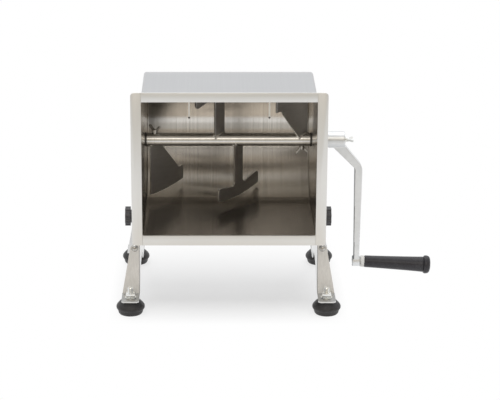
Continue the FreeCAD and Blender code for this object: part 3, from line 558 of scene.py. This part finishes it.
def makePaddles():
    for node, seat in paddleSeats.items():
        bm = copied(node)
        rounded(bm, creased(bm), paddlePlate["edge"], paddlePlate["edgeSteps"])
        across = seatTurn(seat) @ Vector((0, 1, 0))
        for face in bm.faces:
            face.material_index = 0 if abs(face.normal.dot(across)) > paddlePlate["flat"] else 1
        plate = addPiece("plate_" + node, bm, nodeBody[node], paddleSteel, (node,))
        plate.data.materials.append(cutEdge)
        flatFaced(plate)
    beads = bmesh.new()
    for seat in paddleSeats.values():
        turn = seatTurn(seat)
        first, last = seat["root"]
        count = int((last - first) / weldLook["step"])
        for side in (-1, 1):
            for index in range(count + 1):
                along = first + (last - first) * index / count
                flat = turn @ Vector((along, side * weldLook["off"], 0))
                down = turn @ Vector((0, 0, -1))
                sideways = flat - down * flat.dot(down)
                room = weldLook["tube"] ** 2 - sideways.y ** 2 - sideways.z ** 2
                reach = math.sqrt(max(room, weldLook["leastReach"]))
                at = Vector((seat["x"], 0, tankShell["axis"])) + sideways + down * reach
                swell = math.sin(index * weldLook["wander"] + side)
                size = weldLook["bead"] * (1 + weldLook["uneven"] * swell)
                bmesh.ops.create_icosphere(beads, subdivisions=2, radius=size * mm,
                                           matrix=Matrix.Translation(at * mm))
    welds = addPiece("paddleWelds", beads, nodeBody["shaft_tube"], weldSteel, (), castSmooth)
    remeshed(welds, weldLook["voxel"])


makePaddles()
print("paddles made")


# Feet with their studs, nuts and washers

footShape = {
    "rubber": ((0, 0), (15.4, 0), (16.8, 0.5), (17.7, 1.7), (18.3, 3.6), (19.0, 6.2), (19.3, 7.4),
               (20.2, 8.0), (20.9, 9.2), (21.1, 10.8), (20.8, 12.6), (19.6, 14.6), (17.2, 17.2), (15.0, 19.4),
               (13.4, 21.0), (12.3, 21.8), (11.2, 22.0), (4.0, 22.0)),
    "washer": ((4.05, 24.0), (8.2, 24.0), (8.5, 24.3), (8.5, 25.3), (8.2, 25.6), (4.05, 25.6)),
    "places": {"front_left": (-145, -107.2), "rear_left": (-145, 107.2), "front_right": (145, -107.2),
               "rear_right": (145, 107.2)},
    "rubberSteps": 56, "washerSteps": 40,
}
studShape = {"low": 8.0, "threadLow": 23.0, "top": 40.5, "crest": 4.0, "root": 3.4, "pitch": 1.25,
             "plainTop": 0.6, "steps": 28}
nutShape = {"flats": 13.0, "low": 25.6, "high": 32.1, "edge": 0.7, "edgeSteps": 2}


def makeFeet():
    studs, nuts, washers = bmesh.new(), bmesh.new(), bmesh.new()
    crest, root, height, top = (studShape[key] for key in ("crest", "root", "threadLow", "top"))
    stud = [(0, studShape["low"]), (crest, studShape["low"]), (crest, height)]
    while height + studShape["pitch"] < top - studShape["plainTop"]:
        stud.append((root, height + studShape["pitch"] / 2))
        height += studShape["pitch"]
        stud.append((crest, height))
    stud += [(root, top), (0, top)]
    for name, (x, y) in footShape["places"].items():
        place = Matrix.Translation((x * mm, y * mm, 0))
        rubber = bmesh.new()
        spun(rubber, footShape["rubber"], footShape["rubberSteps"], place)
        tidyNormals(rubber)
        node = "foot_" + name
        addPiece("rubber_" + name, rubber, nodeBody[node], footRubber, (node,), turnedSmooth)
        spun(studs, stud, studShape["steps"], place)
        spun(washers, footShape["washer"], footShape["washerSteps"], place)
        bottom = Matrix.Translation((x * mm, y * mm, nutShape["low"] * mm))
        corner = nutShape["flats"] / 2 / math.cos(math.pi / 6) * mm
        ring = bmesh.ops.create_circle(nuts, cap_ends=True, segments=6, radius=corner, matrix=bottom)["verts"]
        extruded(nuts, list(ring[0].link_faces), (0, 0, (nutShape["high"] - nutShape["low"]) * mm))
    tidyNormals(nuts)
    level = [edge for edge in nuts.edges if abs(edge.verts[0].co.z - edge.verts[1].co.z) < mergeGap]
    rounded(nuts, level, nutShape["edge"], nutShape["edgeSteps"])
    for node, bm in (("foot_studs", studs), ("foot_nuts", nuts), ("foot_washers", washers)):
        tidyNormals(bm)
        addPiece("detailed_" + node, bm, nodeBody[node], finishOf(node), (node,),
                 fastenerSmooth)


makeFeet()
print("feet made")


# Crank: cast arm, and a grip with its ring and cap on a pin that droops a little

gripShape = {
    "eye": (195.55, 0, 42.0), "droop": 3.2, "steps": 64,
    "grip_ring": ((4.1, 6.6), (8.2, 6.6), (8.6, 7.0), (8.6, 11.8), (8.2, 12.2), (4.1, 12.2)),
    "crank_grip": ((4.2, 12.6), (8.0, 12.6), (8.6, 12.8), (8.95, 13.4), (9.0, 14.4), (9.2, 24.0), (9.7, 45.0),
                   (10.5, 72.0), (11.25, 93.0), (11.6, 99.5), (11.7, 101.8), (11.5, 102.6), (11.0, 103.0),
                   (4.2, 103.0)),
    "grip_cap": ((0, 103.0), (11.4, 103.0), (12.7, 103.3), (13.5, 104.1), (13.9, 105.6), (13.9, 107.4),
                 (13.5, 109.4), (12.5, 111.2), (10.8, 112.5), (8.0, 113.2), (4.0, 113.5), (0, 113.5)),
}
armCast = {"voxel": 0.7, "passes": 9}
wingCast = {"voxel": 0.3, "passes": 5}


def makeCrank():
    cast("crank_arm", **armCast)
    droop = Matrix.Rotation(math.radians(90 + gripShape["droop"]), 4, "Y")
    place = Matrix.Translation(Vector(gripShape["eye"]) * mm) @ droop
    for node in ("grip_ring", "crank_grip", "grip_cap"):
        bm = bmesh.new()
        spun(bm, gripShape[node], gripShape["steps"], place)
        tidyNormals(bm)
        addPiece("turned_" + node, bm, nodeBody[node], finishOf(node), (node,), turnedSmooth)


makeCrank()
for node in ("wing_screw_left", "wing_screw_right", "wing_screw_crank"):
    cast(node, **wingCast)
print("crank and wing screws made")


# Side plates: webs lightened with painted light, satin leg flanges with a painted shade line along the fold,
# foot tabs darkened with painted shade

sidePlate = {"inside": 132.0, "near": 0.01, "steep": 30.0, "fold": 0.9, "foldSteps": 3, "edge": 0.45,
             "edgeSteps": 2, "flat": 0.9}


def makeSidePlate(node):
    bm = copied(node)
    folds = []
    for edge in creased(bm):
        ends = [vert.co for vert in edge.verts]
        inside = all(abs(abs(end.x) - sidePlate["inside"] * mm) < sidePlate["near"] * mm for end in ends)
        if inside and abs(ends[0].z - ends[1].z) > sidePlate["steep"] * mm:
            folds.append(edge)
    finishes = (standUpright, standFoldShade, standWebLit, standTabShaded)
    # painted shade: the fold's rounded faces take the dark fold finish
    for face in rounded(bm, folds, sidePlate["fold"], sidePlate["foldSteps"]):
        face.material_index = finishes.index(standFoldShade)
    rounded(bm, creased(bm), sidePlate["edge"], sidePlate["edgeSteps"])
    # painted light on the webs, painted shade on the foot tabs
    for face in bm.faces:
        if face.material_index == 0 and abs(face.normal.x) > sidePlate["flat"]:
            face.material_index = finishes.index(standWebLit)
        elif face.material_index == 0 and face.normal.z > sidePlate["flat"]:
            face.material_index = finishes.index(standTabShaded)
    plate = addPiece("folded_" + node, bm, nodeBody[node], standUpright, (node,))
    for material in finishes[1:]:
        plate.data.materials.append(material)
    flatFaced(plate)


# Other solids with their edges broken

knobEdge = {"edge": 2.4, "segments": 4}
sheetEdge = {"edge": 0.45, "segments": 2}
fastenerEdge = {"edge": 0.3, "segments": 2}

for node in ("lock_knob_left", "lock_knob_right"):
    softened(node, **knobEdge)
for node in ("side_plate_left", "side_plate_right"):
    makeSidePlate(node)
for node in ("crossmember", "tilt_quadrant_left", "tilt_quadrant_right"):
    softened(node, **sheetEdge)
for node in ("crossmember_bolts", "crank_washer", "lock_washer_left", "lock_washer_right"):
    softened(node, **fastenerEdge)
print("edges broken")


# Stage, light and camera

white = (1.0, 1.0, 1.0)
stageLook = {"reach": 8.0, "floor": (0.93, 0.935, 0.945), "near": 0.5, "sideEdge": (0.138, 0.178),
             "mouthEdge": (0.055, 0.155), "rearShift": 0.5, "rearEdge": (0.51, 0.72),
             "frontEdge": (0.86, 0.94), "frontFloor": (0.64, 0.63, 0.6), "nearEdge": (0.36, 0.44),
             "tintEdge": (0.22, 0.27), "paintedShadowFloor": (0.75, 0.68, 0.59)}
roomLook = {"ambient": 0.55, "back": (0.9, 0.915, 0.935), "front": (0.53, 0.47, 0.395),
            "above": (1.0, 0.97, 0.9), "frontEdge": (0.42, 0.72), "aboveEdge": (0.695, 0.75),
            "horizonEdge": (0.565, 0.63), "zenith": (0.46, 0.46, 0.47), "zenithEdge": (0.86, 0.95)}
lampLook = {
    "overhead": {"power": 20, "size": 2.4, "place": (0.1, 0.5, 2.1), "aim": (0, 0, 0.1), "colour": white},
    "frontPanel": {"power": 9.5, "size": 1.6, "place": (-0.2, -2.5, 1.95), "aim": (0, 0, 0.2),
                   "colour": (1.0, 0.94, 0.84)},
}
cameraLook = {"place": (-0.022, -2.709, 1.057), "pitch": 18.7, "shift": 0.0726, "lens": 136.1, "sensor": 36.0,
              "reach": 50.0}


def rayIs(wire, kind):
    return wire.add("LightPath", {}, {}, f"Is {kind} Ray")


def seenDirectly(wire):
    either = wire.maths("MAXIMUM", rayIs(wire, "Camera"), rayIs(wire, "Glossy"))
    return wire.maths("MAXIMUM", either, rayIs(wire, "Transmission"))


def makeFloor():
    bm = bmesh.new()
    bmesh.ops.create_grid(bm, x_segments=1, y_segments=1, size=stageLook["reach"])
    mesh = bpy.data.meshes.new("floor")
    bm.to_mesh(mesh)
    bm.free()
    floor = bpy.data.objects.new("floor", mesh)
    bpy.context.scene.collection.objects.link(floor)
    # white to the camera away from the object, and partly so near it, where the shadow stays
    material, wire = newMaterial("paleFloor")
    matt = wire.add("BsdfDiffuse", {}, {"Color": (*stageLook["floor"], 1)})
    place = wire.add("TexCoord", {}, {}, "Object")
    away = wire.add("VectorMath", {"operation": "LENGTH"}, {0: place}, "Value")
    across, along = (wire.add("SeparateXYZ", {}, {0: place}, axis) for axis in "XY")
    beside = 1 - ramped(wire, wire.maths("ABSOLUTE", across, 0.0), *stageLook["sideEdge"])
    before = 1 - ramped(wire, along * -1.0, *stageLook["mouthEdge"])
    behind = 1 - ramped(wire, along + stageLook["rearShift"], *stageLook["rearEdge"])
    far = 1 - beside * before * behind
    # reflections find a painted shadow, a dimmer warm floor close to the object in front, and a grey floor in
    # front of the white ground's edge
    reflected = 1 - rayIs(wire, "Camera")
    beyond = ramped(wire, along * -1.0, *stageLook["frontEdge"])
    close = 1 - ramped(wire, away, *stageLook["nearEdge"])
    close = close * ramped(wire, along * -1.0, *stageLook["tintEdge"])
    tint = mixed(wire, beyond * reflected, white, stageLook["frontFloor"])
    tint = mixed(wire, close * reflected, tint, stageLook["paintedShadowFloor"])
    bright = wire.add("Emission", {}, {"Color": tint, "Strength": 1.0})
    share = seenDirectly(wire) * (far * (1 - stageLook["near"]) + stageLook["near"])
    both = wire.add("MixShader", {}, {0: share, 1: matt, 2: bright})
    wire.add("OutputMaterial", {}, {"Surface": both})
    mesh.materials.append(material)


def makeRoom():
    # white all round for the camera; reflections find a dim warm room in front, lighter higher up and grey
    # at the top
    world = bpy.data.worlds.new("room")
    world.use_nodes = True
    world.node_tree.nodes.clear()
    bpy.context.scene.world = world
    wire = Wire(world.node_tree)
    towards = wire.add("TexCoord", {}, {}, "Generated")
    # both run from 0 to 1: from the back of the room to its front, and from below to above
    forward = wire.add("SeparateXYZ", {}, {0: towards}, "Y") * -0.5 + 0.5
    up = wire.add("SeparateXYZ", {}, {0: towards}, "Z") * 0.5 + 0.5
    tint = mixed(wire, ramped(wire, up, *roomLook["aboveEdge"]), roomLook["front"], roomLook["above"])
    back = mixed(wire, ramped(wire, up, *roomLook["horizonEdge"]), white, roomLook["back"])
    around = mixed(wire, ramped(wire, forward, *roomLook["frontEdge"]), back, tint)
    around = mixed(wire, ramped(wire, up, *roomLook["zenithEdge"]), around, roomLook["zenith"])
    colour = mixed(wire, rayIs(wire, "Camera"), around, white)
    seen = wire.add("Background", {}, {"Color": colour, "Strength": 1.0})
    lighting = wire.add("Background", {}, {"Color": (*white, 1), "Strength": roomLook["ambient"]})
    sky = wire.add("MixShader", {}, {0: seenDirectly(wire), 1: lighting, 2: seen})
    wire.add("OutputWorld", {}, {"Surface": sky})


def makeLamp(name, power, size, place, aim, colour):
    data = bpy.data.lights.new(name, "AREA")
    data.energy = power
    data.color = colour
    data.size = size
    lamp = bpy.data.objects.new(name, data)
    lamp.location = place
    lamp.rotation_euler = (Vector(aim) - Vector(place)).to_track_quat("-Z", "Y").to_euler()
    bpy.context.scene.collection.objects.link(lamp)


def makeCamera():
    data = bpy.data.cameras.new("camera")
    data.lens = cameraLook["lens"]
    data.sensor_width = cameraLook["sensor"]
    data.clip_end = cameraLook["reach"]
    camera = bpy.data.objects.new("camera", data)
    camera.location = cameraLook["place"]
    camera.rotation_euler = (math.radians(90 - cameraLook["pitch"]), 0, 0)
    data.shift_x = cameraLook["shift"]
    bpy.context.scene.collection.objects.link(camera)
    bpy.context.scene.camera = camera


makeFloor()
makeRoom()
for lampName, values in lampLook.items():
    makeLamp(lampName, **values)
makeCamera()
bpy.context.scene.view_settings.view_transform = "Standard"
print("stage, light and camera made")
